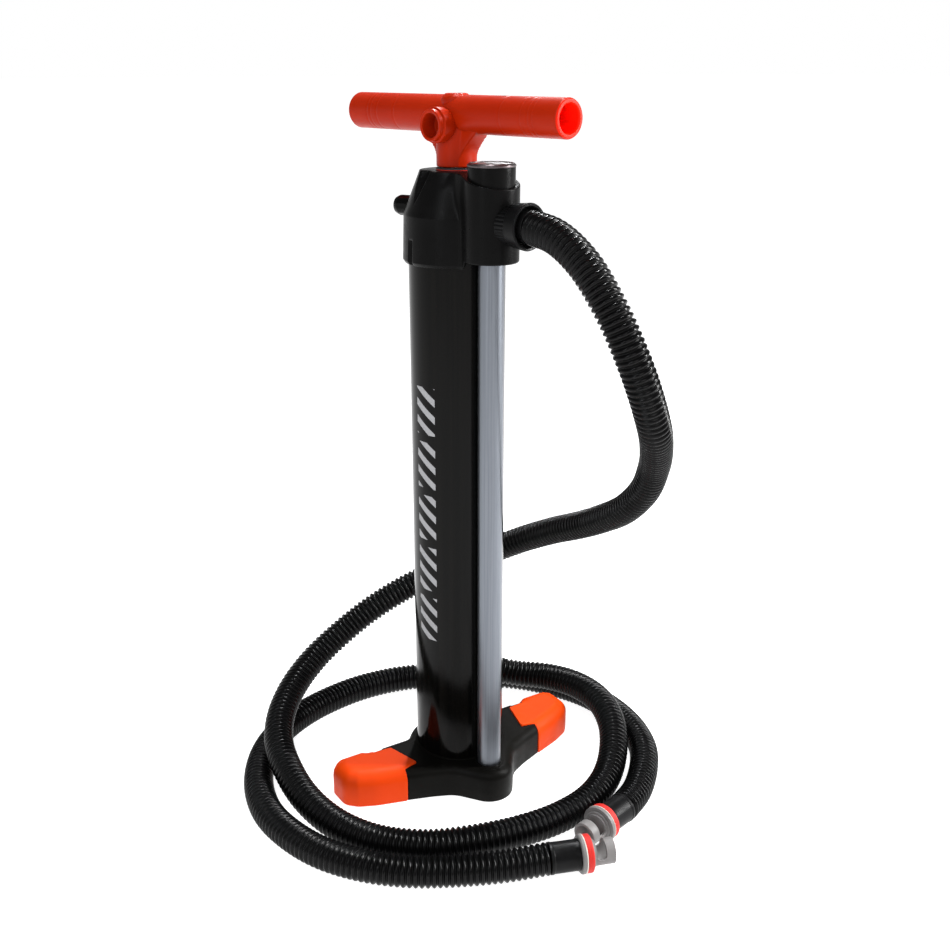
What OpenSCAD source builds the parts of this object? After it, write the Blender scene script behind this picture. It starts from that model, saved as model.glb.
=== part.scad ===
// Hand-operated double-action floor pump with a T handle, a gauge on the head,
// a base held down by the feet, a corrugated hose and a loose extension hose.
// Millimetres. Origin on the floor under the barrel, +Z up, the air tube towards -Y.

/* [Barrel] */
// Outside diameter of the barrel
barrel_od = 81; // [80:0.5:81]
// Wall of the barrel
barrel_wall = 2.5; // [2:0.1:2.8]
// Height at which the head's lower edge sits above the floor
head_low_z = 485; // [440:5:520]

/* [Air tube] */
// Outside diameter of the aluminium air tube
tube_od = 21.4; // [20.8:0.1:21.4]
// Wall of the air tube
tube_wall = 1.5; // [1:0.1:2]
// Distance from the barrel's axis to the tube's axis
tube_pitch = 51.7; // [51.7:0.1:53]

/* [Base] */
// Height of the base's top face above the floor
base_top = 31; // [29:0.5:33]
// Half of the base's width across its two wings
wing_reach = 125; // [115:1:130]
// Height of the rubber feet below the base
foot_h = 3; // [2:0.5:4]

/* [Head] */
// Largest radius of the head
head_r = 45; // [44.5:0.5:47]
// Height of the straight lower part of the head
head_skirt_h = 40; // [38:1:42]
// Height of the whole head
head_h = 74; // [73:1:76]
// Radius of the pod that stands over the air tube
pod_r = 22.5; // [22.3:0.1:23.5]

/* [Handle] */
// Outside diameter of the hollow grip
grip_od = 28.7; // [27:0.1:30]
// Bore of the hollow grip
grip_bore = 22.4; // [20:0.2:23]
// Length of the grip from end to end
grip_len = 244; // [220:2:260]
// Turn of the grip and of the hose port away from the air tube's direction, in degrees
handle_turn = 11; // [0:1:20]

/* [Hose] */
// Outside diameter over the ribs of the hose
hose_od = 27; // [25:0.5:27]
// Bore of the hose
hose_bore = 20; // [18:0.5:21]

/* [Hidden] */
$fn = 96;
BLEND_FN = 32;

eps = 0.01;
barrel_r = barrel_od / 2;
barrel_bore_r = barrel_r - barrel_wall;
tube_r = tube_od / 2;
tube_bore_r = tube_r - tube_wall;
tube_at = [0, -tube_pitch, 0];

base_low = foot_h;
chamber_floor = 20;
channel_top = 14;
plate_t = 2.5;
socket_gap = 0.15;
seal_t = 1.5;
outlet_at = [0, -27, 0];
lower_intake_at = [18, 14, 0];

roof_z = head_low_z + 14.2;
roof_t = 7;
shoulder_z = head_low_z + head_skirt_h;
head_top = head_low_z + head_h;
head_top_r = 30;
upper_intake_at = [16, 16, 0];
bush_low = head_top - 19;
bush_rim = 0.6;
rod_r = 8;
pod_core_r = 13.5;
tube_top = head_low_z + 13;
seat_top = head_low_z + 17;
gauge_r = 19;
gauge_low = head_top - 12;
gauge_top = head_top + 8.6;

port_dir = 12;
port_z = head_low_z + 37;
nut_low = 16.8;
nut_rib_len = 12;
nut_len = 21;
cuff_start = 31.5;
cuff_end = 44;

plug_dir = 120;
plug_z = shoulder_z + 3;
plug_seat = 33;
plug_reach = 59;

pad_top = base_top + 1;
pad_side = 0.8;
arm_inset = 6;
arm_top = base_top - 5;

piston_low = 26;
piston_h = 18;
piston_top = piston_low + piston_h;
rod_low = 22;
stem_low = head_top + 2.6;
stem_r = 16.6;
grip_z = head_low_z + 117;
rod_high = grip_z - 5;
bolt_hold = 15;
stub_z = grip_z - 8;

hose_r = hose_od / 2;
hose_sides = 12;

// Route of the fixed hose, from the port round the barrel, down and round the floor
main_route = [
    [9, -95, 522], [12, -120, 518], [16, -148, 503], [22, -174, 474], [36, -190, 431],
    [61, -185, 381], [87, -161, 349], [106, -138, 324], [118, -115, 295], [124, -84, 266],
    [129, -45, 242], [131, -7, 222], [128, 31, 204], [116, 66, 185], [93, 96, 165],
    [59, 118, 147], [22, 133, 131], [-16, 141, 113], [-53, 143, 93], [-89, 137, 74],
    [-119, 121, 59], [-143, 96, 47], [-157, 68, 39], [-164, 34, 33], [-164, -2, 24],
    [-155, -40, 17], [-136, -78, 15], [-104, -110, 16], [-65, -130, 18], [-23, -139, 17],
    [18, -140, 16], [57, -132, 16], [89, -115, 18], [114, -93, 24], [135, -64, 32],
    [147, -28, 37], [146, 9, 37], [134, 43, 34], [113, 69, 32], [103, 79, 33]];
// Direction in which the fixed hose's end fitting lies
main_end_aim = [-0.72, 0.66, 0.14];

// Route of the loose hose, one turn on the floor from its rear to its front fitting
ring_route = [
    [72, -160, 17], [98, -146, 15], [126, -123, 14], [150, -95, 14], [165, -61, 14],
    [171, -23, 14], [168, 15, 14], [155, 48, 14], [136, 78, 14], [110, 104, 14],
    [80, 126, 14], [48, 142, 14], [13, 154, 14], [-24, 158, 14], [-60, 154, 14],
    [-95, 144, 14], [-129, 126, 14], [-156, 102, 14], [-176, 73, 14], [-190, 39, 14],
    [-196, 3, 14], [-192, -34, 14], [-180, -70, 14], [-160, -101, 14], [-131, -129, 14],
    [-97, -150, 14], [-61, -168, 15], [-26, -182, 17]];
rear_end_aim = [-0.97, -0.24, 0];
front_end_aim = [0.937, -0.349, 0];

fit_cuff_len = 26;
fit_flange_r = 16.3;
fit_seal_r = 16;
fit_tube_r = 10.6;
fit_bore_r = 8.6;
fit_flange_len = 4;
fit_seal_len = 6;
fit_tube_len = 20;

// ---- helpers ----
function add(a, b) = [for (i = [0:2]) a[i] + b[i]];
function unit(v) = v / norm(v);

// Direction of the route at point i
function heading(route, i) =
    unit(route[min(i + 1, len(route) - 1)] - route[max(i - 1, 0)]);

// A ring of points square to direction t round centre p
function ring(p, t, r) =
    let (side = unit(cross(t, [0, 0, 1])), up = cross(side, t))
    [for (k = [0:hose_sides - 1])
        let (a = 360 * k / hose_sides) p + r * (cos(a) * side + sin(a) * up)];

// Hollow tube through a route, one outer and one inner ring at each route point
module sweep(route, outer, inner) {
    n = len(route);
    m = hose_sides;
    wall = n * m;
    points = [for (r = [outer, inner], i = [0:n - 1]) each ring(route[i], heading(route, i), r)];
    outside = [for (i = [0:n - 2], k = [0:m - 1], half = [0, 1])
        let (a = i * m + k, b = i * m + (k + 1) % m) half == 0 ? [a, b, b + m] : [a, b + m, a + m]];
    inside = [for (f = outside) [f[0] + wall, f[2] + wall, f[1] + wall]];
    first = [for (k = [0:m - 1], half = [0, 1])
        let (b = (k + 1) % m) half == 0 ? [k, b + wall, b] : [k, k + wall, b + wall]];
    last = [for (f = first) [f[0], f[2], f[1]] + (n - 1) * m * [1, 1, 1]];
    polyhedron(points, concat(outside, inside, first, last), convexity = 10);
}

// Turns children from +Z to direction v and moves them to point p
module aim(p, v) {
    polar = acos(v[2] / norm(v));
    turn = atan2(v[1], v[0]);
    translate(p) rotate([0, polar, turn]) children();
}

module pipe(ro, ri, h) {
    difference() {
        cylinder(r = ro, h = h);
        translate([0, 0, -eps]) cylinder(r = ri, h = h + 2 * eps);
    }
}

module o_ring(mean_r, wire_r) {
    rotate_extrude() translate([mean_r, 0]) circle(r = wire_r, $fn = 24);
}

// Screw with a round head, pointing down from its head's underside at z = 0
module screw(thread_r, length, head_radius, head_height) {
    translate([0, 0, -length]) cylinder(r = thread_r, h = length + eps, $fn = 24);
    difference() {
        cylinder(r = head_radius, h = head_height, $fn = 32);
        translate([0, 0, head_height * 0.4]) cylinder(r = head_radius * 0.45, h = head_height, $fn = 6);
    }
}

// ---- base ----
wing_line = [[0, 25], [wing_reach - 6, 25], [wing_reach, 19], [wing_reach, -2],
    [wing_reach - 9, -11], [wing_reach - 26, -19], [72, -28], [36, -41], [20, -52], [0, -56]];

module mirror_pair() {
    children();
    mirror([1, 0, 0]) children();
}

module base_outline(grow = 0) {
    offset(r = grow, $fn = BLEND_FN) union() {
        mirror_pair() polygon(wing_line);
        circle(r = 49, $fn = 64);
        translate([0, -tube_pitch]) circle(r = 22, $fn = 64);
    }
}

// Region of one wing that its foot pad covers, with the pointed tongue on its inner edge
module pad_region(gap = 0) {
    offset(delta = gap) polygon([[73, -60], [74, -20], [59, -16], [66, 14], [84, 15],
        [86, 60], [wing_reach + 20, 60], [wing_reach + 20, -60]]);
}

module stepped(levels) {
    for (level = levels)
        translate([0, 0, level[0]]) linear_extrude(level[1] - level[0]) intersection() {
            base_outline(level[2]);
            children();
        }
}

module base() {
    color("#26272a") difference() {
        union() {
            difference() {
                stepped([[base_low, base_top - 6, 0], [base_top - 6, base_top - 2.5, -1.5],
                    [base_top - 2.5, base_top, -4]]) square(400, center = true);
                translate([0, 0, base_low - 1]) linear_extrude(base_top) mirror_pair() pad_region(0.15);
            }
            translate([0, 0, base_low]) linear_extrude(arm_top - base_low) intersection() {
                base_outline(-arm_inset);
                mirror_pair() pad_region(0.2);
            }
        }
        translate([0, 0, chamber_floor]) cylinder(r = barrel_r + socket_gap, h = 30);
        translate(tube_at + [0, 0, chamber_floor]) cylinder(r = tube_r + socket_gap, h = 30);
        translate(tube_at + [0, 0, channel_top - 4]) cylinder(r = 7, h = 20);
        translate(outlet_at + [0, 0, channel_top - 4]) cylinder(r = 5, h = 20);
        translate([-6, -tube_pitch, base_low - 1]) cube([12, tube_pitch - 27, channel_top - base_low + 1]);
        translate([0, -tube_pitch, base_low - 1]) cylinder(r = 9, h = channel_top - base_low + 1);
        translate([0, 0, base_low - 1]) cylinder(r = 39, h = plate_t + 2.2);
        translate([-15, -68, base_low - 1]) cube([30, 40, plate_t + 2.2]);
        translate(lower_intake_at + [0, 0, base_low - 1]) cylinder(r = 10, h = channel_top - base_low + 1);
        translate(lower_intake_at + [0, 0, channel_top - 1]) cylinder(r = 2, h = 8);
        for (a = [0:60:300])
            translate(lower_intake_at + [5.5 * cos(a), 5.5 * sin(a), channel_top - 1]) cylinder(r = 1.6, h = 8, $fn = 16);
        plate_screw_places() translate([0, 0, base_low]) cylinder(r = 1.75, h = 14, $fn = 24);
        pad_screw_places() translate([0, 0, base_low - 1]) cylinder(r = 2.1, h = 60, $fn = 24);
        pad_screw_places() translate([0, 0, base_low - 1]) cylinder(r = 4.3, h = 9, $fn = 32);
    }
}

module plate_screw_places() {
    for (p = [[33, 0], [-33, 0], [0, 33], [-11, -61], [11, -61], [-26, -20], [26, -20]])
        translate(p) children();
}

module pad_screw_places() {
    for (x = [-103, -88, 88, 103]) translate([x, 4]) children();
}

module base_plate() {
    color("#1d1e20") difference() {
        union() {
            translate([0, 0, base_low]) cylinder(r = 38.5, h = plate_t);
            translate([-14.5, -67.5, base_low]) cube([29, 40, plate_t]);
        }
        plate_screw_places() translate([0, 0, base_low - 1]) cylinder(r = 1.9, h = 10, $fn = 24);
        for (a = [0:60:300])
            translate(lower_intake_at + [6 * cos(a), 6 * sin(a), base_low - 1]) cylinder(r = 1.8, h = 10, $fn = 16);
    }
}

module base_gasket() {
    color("#3a3a3a") translate([0, 0, base_low + plate_t]) difference() {
        translate([-12, -66, 0]) cube([24, 44, 1.2]);
        translate([-6.2, -tube_pitch, -1]) cube([12.4, tube_pitch - 25, 4]);
        translate([0, -tube_pitch, -1]) cylinder(r = 9.2, h = 4);
        plate_screw_places() translate([0, 0, -1]) cylinder(r = 1.9, h = 5, $fn = 24);
    }
}

module plate_screws() {
    color("#8f9296") plate_screw_places() translate([0, 0, base_low]) mirror([0, 0, 1])
        screw(1.7, 9, 3.2, 1.8);
}

module rubber_feet() {
    color("#161616") for (p = [[-112, 8], [112, 8], [-60, 2], [60, 2], [0, -65.5], [0, 42.6]])
        translate(p) {
            cylinder(r1 = 5.2, r2 = 6.2, h = foot_h);
        }
}

module foot_pad() {
    difference() {
        stepped([[base_low, base_top - 9, pad_side], [base_top - 9, base_top - 4, -0.6],
            [base_top - 4, pad_top - 2, -2.6], [pad_top - 2, pad_top, -5.5]]) pad_region();
        translate([0, 0, base_low - 1]) linear_extrude(arm_top - base_low + 1.2) intersection() {
            base_outline(-arm_inset + 0.25);
            pad_region(0.5);
        }
        pad_screw_places() translate([0, 0, arm_top - 1]) cylinder(r = 1.52, h = 2.8, $fn = 24);
    }
}

module right_foot_pad() {
    color("#ff5a14") foot_pad();
}

module left_foot_pad() {
    color("#ff5a14") mirror([1, 0, 0]) foot_pad();
}

module pad_screws() {
    color("#8f9296") pad_screw_places() translate([0, 0, base_low + 8]) mirror([0, 0, 1])
        screw(1.5, arm_top - base_low - 6.5, 3.4, 2);
}

// ---- barrel and air tube ----
module barrel() {
    color("#0c0c0e") translate([0, 0, chamber_floor + seal_t])
        pipe(barrel_r, barrel_bore_r, roof_z - chamber_floor - 2 * seal_t);
}

module barrel_seals() {
    color("#2c2c2c") for (z = [chamber_floor, roof_z - seal_t])
        translate([0, 0, z]) pipe(barrel_r, barrel_bore_r + 0.2, seal_t);
}

module air_tube() {
    color("#c3c7cd") translate(tube_at + [0, 0, chamber_floor + seal_t])
        pipe(tube_r, tube_bore_r, tube_top - chamber_floor - 2 * seal_t);
}

module tube_seals() {
    color("#2c2c2c") for (z = [chamber_floor, tube_top - seal_t])
        translate(tube_at + [0, 0, z]) pipe(tube_r, tube_bore_r + 0.1, seal_t);
}

// ---- head ----
module head_form() {
    translate([0, 0, head_low_z]) cylinder(r = head_r, h = head_skirt_h);
    translate([0, 0, shoulder_z - eps]) cylinder(r1 = head_r, r2 = head_top_r, h = head_top - 2 - shoulder_z);
    translate([0, 0, head_top - 2 - 2 * eps]) cylinder(r1 = head_top_r, r2 = head_top_r - 1.5, h = 2);
    translate(tube_at + [0, 0, head_low_z]) cylinder(r = pod_r, h = head_h);
    hull() {
        translate([0, 0, head_low_z]) cylinder(r = 30, h = head_h - 4, $fn = BLEND_FN);
        translate(tube_at + [0, 12, head_low_z]) cylinder(r = 19, h = head_h - 4, $fn = BLEND_FN);
    }
}

module port_frame(l) {
    translate([0, -tube_pitch, port_z]) rotate([90, 0, port_dir]) translate([0, 0, l]) children();
}

module plug_frame(l) {
    translate([0, 0, plug_z]) rotate([0, 90, plug_dir]) translate([0, 0, l]) children();
}

module head() {
    color("#1b1c1f") difference() {
        head_form();
        // slanted rim of the pod
        translate([0, -tube_pitch, head_top - 4.5]) rotate([14, 0, 0]) translate([-40, -60, 0]) cube([80, 76, 30]);
        translate([0, 0, head_low_z - 1]) cylinder(r = barrel_r + socket_gap, h = roof_z - head_low_z + 1);
        cylinder(r = rod_r + 0.6, h = 900);
        translate([0, 0, bush_low]) cylinder(r = 13, h = 100);
        translate(outlet_at + [0, 0, roof_z - 1]) cylinder(r = 4, h = roof_t + 2);
        translate(outlet_at + [0, 0, roof_z + roof_t]) cylinder(r = 7, h = 8);
        translate([-5, -tube_pitch, roof_z + roof_t + 2]) cube([10, tube_pitch - 27, 6]);
        translate(tube_at + [0, 0, head_low_z - 1]) cylinder(r = tube_r + socket_gap, h = tube_top - head_low_z + 1);
        translate(tube_at + [0, 0, tube_top - 1]) cylinder(r = 6, h = 10);
        translate(tube_at + [0, 0, seat_top]) cylinder(r = pod_core_r, h = gauge_low - seat_top + 1);
        translate(tube_at + [0, 0, gauge_low]) cylinder(r = gauge_r + 0.15, h = 40);
        port_frame(0) cylinder(r = 11, h = 60);
        port_frame(nut_low - 0.6) cylinder(r = 15.6, h = 60);
        translate(upper_intake_at + [0, 0, roof_z - 1]) cylinder(r = 2, h = roof_t + 2);
        for (a = [0:60:300])
            translate(upper_intake_at + [5 * cos(a), 5 * sin(a), roof_z - 1]) cylinder(r = 1.5, h = roof_t + 2, $fn = 16);
        translate(upper_intake_at + [0, 0, roof_z + roof_t]) cylinder(r = 8, h = 8);
        for (a = [30, 45, 60])
            translate([0, 0, roof_z + roof_t + 5]) rotate([0, 90, a]) translate([0, 0, 24]) cylinder(r = 1.6, h = 30, $fn = 24);
        plug_frame(18) cylinder(r = 5.1, h = 60);
        plug_frame(plug_seat + 7) cylinder(r = 9.5, h = 60);
        for (side = [-1, 1]) {
            translate([side * (head_r + 2), 0, head_low_z - 1]) cylinder(r = 4, h = 19);
            translate([side * (head_top_r + 3), 0, shoulder_z + 12]) rotate([0, side * -10, 0]) cylinder(r = 6, h = 40);
        }
    }
}

module rod_bush() {
    color("#c23a22") translate([0, 0, bush_low]) difference() {
        union() {
            cylinder(r = 12.95, h = head_top - bush_low);
            translate([0, 0, head_top - bush_low]) cylinder(r = 16.8, h = bush_rim);
        }
        translate([0, 0, -1]) cylinder(r = rod_r + 0.04, h = 40);
        translate([0, 0, 5]) cylinder(r = rod_r + 2, h = 2.4);
    }
}

module rod_seal() {
    color("#222222") translate([0, 0, bush_low + 5.05]) pipe(rod_r + 1.95, rod_r + 0.02, 2.3);
}

module rod_wiper() {
    color("#101010") translate([0, 0, head_top + bush_rim]) pipe(17.3, rod_r + 0.05, 1.2);
}

// Umbrella valve of soft rubber: a disc on a stem with a bead behind a wall's hole
module umbrella(disc_r, wall) {
    cylinder(r = 1.95, h = wall + 2);
    cylinder(r1 = disc_r - 1, r2 = disc_r, h = 0.8);
    translate([0, 0, wall + 1]) cylinder(r1 = 3.2, r2 = 1.6, h = 2.6);
}

module upper_intake_valve() {
    color("#7c7f84") translate(upper_intake_at + [0, 0, roof_z - 0.82]) umbrella(7.8, roof_t);
}

module lower_intake_valve() {
    color("#7c7f84") translate(lower_intake_at + [0, 0, chamber_floor + 0.82]) mirror([0, 0, 1])
        umbrella(8.5, chamber_floor - channel_top);
}

module barrel_outlet_disc() {
    color("#c8483c") translate(outlet_at + [0, 0, roof_z + roof_t + 0.05]) {
        cylinder(r = 6.4, h = 1.6);
        cylinder(r = 1.5, h = 4.6);
    }
}

module tube_outlet_disc() {
    color("#c8483c") translate(tube_at + [0, 0, seat_top + 0.05]) {
        cylinder(r = 8.6, h = 1.6);
        cylinder(r = 2, h = 5);
    }
}

module outlet_cage() {
    color("#8d9095") translate(tube_at + [0, 0, seat_top]) difference() {
        pipe(pod_core_r - 0.05, 10.5, 8.9);
        translate([-30, 0, 4]) cube([60, 30, 20]);
    }
    color("#8d9095") translate(tube_at + [0, 0, seat_top + 7.5]) intersection() {
        cylinder(r = 12, h = 2);
        translate([-20, -13, 0]) cube([40, 12.8, 2]);
    }
}

// ---- gauge ----
module gauge_body() {
    color("#35373b") translate(tube_at + [0, 0, gauge_low]) difference() {
        union() {
            cylinder(r = gauge_r, h = gauge_top - 3 - gauge_low);
            translate([0, 0, -4]) cylinder(r = 6, h = 5);
        }
        translate([0, 0, 5]) cylinder(r = gauge_r - 2, h = 40);
        translate([0, 0, -5]) cylinder(r = 2.5, h = 20);
    }
}

module gauge_movement() {
    color("#c9a44a") translate(tube_at + [0, 0, gauge_low + 5]) difference() {
        cylinder(r = 8, h = 5.6);
        translate([0, 0, 2]) cylinder(r = 1.05, h = 10);
    }
}

module gauge_dial() {
    color("#e9e7e2") translate(tube_at + [0, 0, gauge_low + 10.7]) pipe(gauge_r - 2.05, 2, 0.8);
}

module gauge_needle() {
    color("#b32020") translate(tube_at + [0, 0, gauge_low + 7.2]) {
        cylinder(r = 1, h = 6);
        translate([0, 0, 5]) cylinder(r = 2, h = 0.9);
        translate([0, 0, 5]) rotate([0, 0, 225]) translate([-3.5, -0.5, 0]) cube([16, 1, 0.6]);
    }
}

module gauge_lens() {
    color("#cfd6da") translate(tube_at + [0, 0, gauge_top - 2.6]) cylinder(r = gauge_r - 1.7, h = 1.6);
}

module gauge_bezel() {
    color("#b9aeb0") translate(tube_at + [0, 0, gauge_top - 3]) difference() {
        rotate_extrude() polygon([[gauge_r - 2.5, 2.1], [gauge_r - 1.6, 2.1], [gauge_r - 1.6, 0],
            [gauge_r + 0.3, 0], [gauge_r + 0.3, 2], [gauge_r - 0.9, 3], [gauge_r - 2.5, 3]]);
    }
}

// ---- mode plug and hose port ----
module mode_plug() {
    color("#0b0b0c") plug_frame(0) {
        difference() {
            translate([0, 0, 20]) cylinder(r = 5, h = 22);
            translate([0, 0, 26]) pipe(7, 4, 1.6);
        }
        translate([0, 0, plug_seat + 8]) cylinder(r = 8.5, h = plug_reach - plug_seat - 14);
        translate([0, 0, plug_reach - 6]) rotate_extrude() polygon(concat([[0, 0]],
            [for (a = [0:15:90]) [2.5 + 6 * cos(a), 6 * sin(a)]], [[0, 6]]));
    }
}

module mode_plug_seal() {
    color("#2c2c2c") plug_frame(26.05) pipe(5.05, 4.02, 1.5);
}

module port_spigot() {
    color("#141416") port_frame(12.6) difference() {
        pipe(10.95, 8.4, 21.4);
        translate([0, 0, 1]) pipe(14, 9.9, 1.8);
    }
}

module port_seal() {
    color("#2c2c2c") port_frame(13.65) pipe(10.98, 9.92, 1.7);
}

module swivel_nut() {
    color("#202124") port_frame(nut_low) difference() {
        union() {
            cylinder(r = 15, h = nut_rib_len + 0.5);
            translate([0, 0, nut_rib_len]) cylinder(r = 17, h = nut_len - nut_rib_len);
        }
        translate([0, 0, -1]) cylinder(r = 11.3, h = 40);
        translate([0, 0, cuff_start - nut_low - 0.5]) cylinder(r = 13.6, h = 40);
    }
}

module port_cuff() {
    color("#101012") port_frame(cuff_start) pipe(13.2, 11, cuff_end - cuff_start);
}

// ---- hoses ----
module main_hose() {
    color("#17181a") sweep(main_route, hose_r, hose_bore / 2);
}

module extension_hose() {
    color("#17181a") sweep(ring_route, hose_r, hose_bore / 2);
}

module hose_fitting_frame(route_end, way, l) {
    aim(route_end + unit(way) * l, way) children();
}

module end_cuff(p, way) {
    color("#101012") hose_fitting_frame(p, way, 0.02) pipe(13.3, 10.4, fit_cuff_len - 0.04);
}

// Grey bayonet fitting: a flange, a seal seat and an open tube with a J slot
module end_fitting(p, way, flange_first) {
    seat = flange_first ? fit_flange_len : 0;
    color("#9a9ca1") hose_fitting_frame(p, way, fit_cuff_len) difference() {
        union() {
            translate([0, 0, flange_first ? 0 : fit_seal_len]) cylinder(r = fit_flange_r, h = fit_flange_len);
            cylinder(r = fit_tube_r, h = fit_flange_len + fit_seal_len + fit_tube_len);
        }
        translate([0, 0, -1]) cylinder(r = fit_bore_r, h = 80);
        translate([-14, -3.2, fit_flange_len + fit_seal_len + 5]) cube([28, 6.4, fit_tube_len]);
        translate([-14, -3.2, fit_flange_len + fit_seal_len + 5]) cube([28, 10, 6]);
    }
}

module end_seal(p, way, flange_first) {
    color("#d8352c") hose_fitting_frame(p, way, fit_cuff_len + (flange_first ? fit_flange_len : 0))
        translate([0, 0, 0.01]) pipe(fit_seal_r, fit_tube_r + 0.03, fit_seal_len - 0.02);
}

module main_end_cuff() {
    end_cuff(main_route[len(main_route) - 1], main_end_aim);
}

module main_end_fitting() {
    end_fitting(main_route[len(main_route) - 1], main_end_aim, true);
}

module main_end_seal() {
    end_seal(main_route[len(main_route) - 1], main_end_aim, true);
}

module front_cuff() {
    end_cuff(ring_route[len(ring_route) - 1], front_end_aim);
}

module front_fitting() {
    end_fitting(ring_route[len(ring_route) - 1], front_end_aim, true);
}

module front_seal() {
    end_seal(ring_route[len(ring_route) - 1], front_end_aim, true);
}

module rear_cuff() {
    end_cuff(ring_route[0], rear_end_aim);
}

module rear_fitting() {
    end_fitting(ring_route[0], rear_end_aim, false);
}

module rear_seal() {
    end_seal(ring_route[0], rear_end_aim, false);
}

// ---- piston ----
module piston_rod() {
    color("#cdd0d4") difference() {
        union() {
            translate([0, 0, rod_low]) cylinder(r = 5, h = piston_top - rod_low + 1);
            translate([0, 0, piston_top + 0.3]) cylinder(r = rod_r, h = rod_high - piston_top - 0.3);
        }
        translate([0, 0, rod_high - bolt_hold - 2]) cylinder(r = 3.2, h = bolt_hold + 3);
    }
}

module piston_head() {
    color("#e3e0d6") translate([0, 0, piston_low]) difference() {
        cylinder(r = barrel_bore_r - 0.4, h = piston_h);
        translate([0, 0, -1]) cylinder(r = 5.05, h = piston_h + 2);
        translate([0, 0, 4]) pipe(60, barrel_bore_r - 4, 4);
        translate([0, 0, 12]) pipe(60, barrel_bore_r - 2.5, 4);
        translate([0, 0, 10]) pipe(31, 14, 20);
    }
}

module piston_seal() {
    color("#1c1c1c") translate([0, 0, piston_low + 4.05]) pipe(barrel_bore_r - 0.02, barrel_bore_r - 3.95, 3.9);
}

module guide_ring() {
    color("#efe9d6") translate([0, 0, piston_low + 12.05]) pipe(barrel_bore_r - 0.05, barrel_bore_r - 2.45, 3.9);
}

module piston_nut() {
    color("#9a9da2") translate([0, 0, rod_low - 0.4]) difference() {
        cylinder(r = 8.2, h = piston_low - rod_low + 0.1, $fn = 6);
        translate([0, 0, -1]) cylinder(r = 5.04, h = 20);
    }
}

// ---- handle ----
module grip_frame() {
    rotate([0, 0, handle_turn]) children();
}

module t_handle() {
    color("#e8391c") grip_frame() difference() {
        union() {
            translate([0, grip_len / 2, grip_z]) rotate([90, 0, 0]) cylinder(r = grip_od / 2, h = grip_len);
            translate([0, 0, stem_low]) cylinder(r = stem_r, h = grip_z - stem_low);
            translate([0, 0, grip_z]) cylinder(r1 = 14, r2 = 9.6, h = grip_od / 2 + 0.5);
            translate([-29, 0, stub_z]) rotate([0, 90, 0]) cylinder(r = 12.2, h = 29);
            translate([-24.5, 0, stub_z]) rotate([0, 90, 0]) cylinder(r = 14, h = 10);
            for (side = [0, 180])
                rotate([0, 0, side]) translate([-5, 0, 0]) rotate([90, 0, 90]) linear_extrude(10)
                    polygon([[-10, stem_low + 8], [-16.5, stem_low + 8], [-24, grip_z - 13], [-10, grip_z - 13]]);
        }
        for (side = [-1, 1])
            translate([0, side * (grip_len / 2 + 1), grip_z]) rotate([side * 90, 0, 0])
                cylinder(r = grip_bore / 2, h = grip_len / 2 - 14);
        translate([-30, 0, stub_z]) rotate([0, 90, 0]) cylinder(r = 9.4, h = 15);
        translate([0, 0, stem_low - 1]) cylinder(r = rod_r + 0.02, h = rod_high - stem_low + 1.02);
        cylinder(r = 3.2, h = 900);
        translate([0, 0, grip_z + 6]) cylinder(r = 6.6, h = 30);
    }
}

module handle_bolt() {
    color("#9a9da2") translate([0, 0, grip_z + 6.02]) screw(3.15, 11 + bolt_hold, 6, 4);
}

module handle_cap() {
    color("#e8391c") translate([0, 0, grip_z + 11]) {
        cylinder(r = 6.55, h = grip_od / 2 - 10.5);
    }
}

base();
base_plate();
base_gasket();
plate_screws();
rubber_feet();
left_foot_pad();
right_foot_pad();
pad_screws();
barrel();
barrel_seals();
air_tube();
tube_seals();
head();
rod_bush();
rod_seal();
rod_wiper();
upper_intake_valve();
lower_intake_valve();
barrel_outlet_disc();
tube_outlet_disc();
outlet_cage();
gauge_body();
gauge_movement();
gauge_dial();
gauge_needle();
gauge_lens();
gauge_bezel();
mode_plug();
mode_plug_seal();
port_spigot();
port_seal();
swivel_nut();
port_cuff();
main_hose();
main_end_cuff();
main_end_fitting();
main_end_seal();
extension_hose();
front_cuff();
front_fitting();
front_seal();
rear_cuff();
rear_fitting();
rear_seal();
piston_rod();
piston_head();
piston_seal();
guide_ring();
piston_nut();
t_handle();
handle_bolt();
handle_cap();
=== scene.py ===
from math import radians, sin, cos, pi

import bpy
import numpy as np
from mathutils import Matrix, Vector


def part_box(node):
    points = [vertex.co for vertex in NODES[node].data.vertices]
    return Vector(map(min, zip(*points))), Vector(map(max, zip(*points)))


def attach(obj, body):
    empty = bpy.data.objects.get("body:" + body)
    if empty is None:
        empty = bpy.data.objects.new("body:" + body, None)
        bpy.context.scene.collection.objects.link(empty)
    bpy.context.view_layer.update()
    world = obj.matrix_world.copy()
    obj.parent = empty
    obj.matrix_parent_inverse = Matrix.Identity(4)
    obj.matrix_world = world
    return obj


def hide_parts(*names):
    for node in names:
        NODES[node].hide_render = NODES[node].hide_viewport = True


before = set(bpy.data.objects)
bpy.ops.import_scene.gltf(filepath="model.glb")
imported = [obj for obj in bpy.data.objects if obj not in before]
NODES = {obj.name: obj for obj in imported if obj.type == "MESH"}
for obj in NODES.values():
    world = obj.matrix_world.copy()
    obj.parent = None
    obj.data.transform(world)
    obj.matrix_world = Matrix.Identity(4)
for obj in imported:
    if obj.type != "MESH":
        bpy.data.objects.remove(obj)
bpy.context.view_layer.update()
MM = 0.001


# ------------------------------------------------------------------ places taken from the frame

def middle(node):
    """Centre of a CAD node's box, in metres."""
    low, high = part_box(node)
    return np.array((low + high) / 2)


def span(node):
    """Lowest and highest corner of a CAD node's box, in metres, as arrays."""
    low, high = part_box(node)
    return np.array(low), np.array(high)


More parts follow.
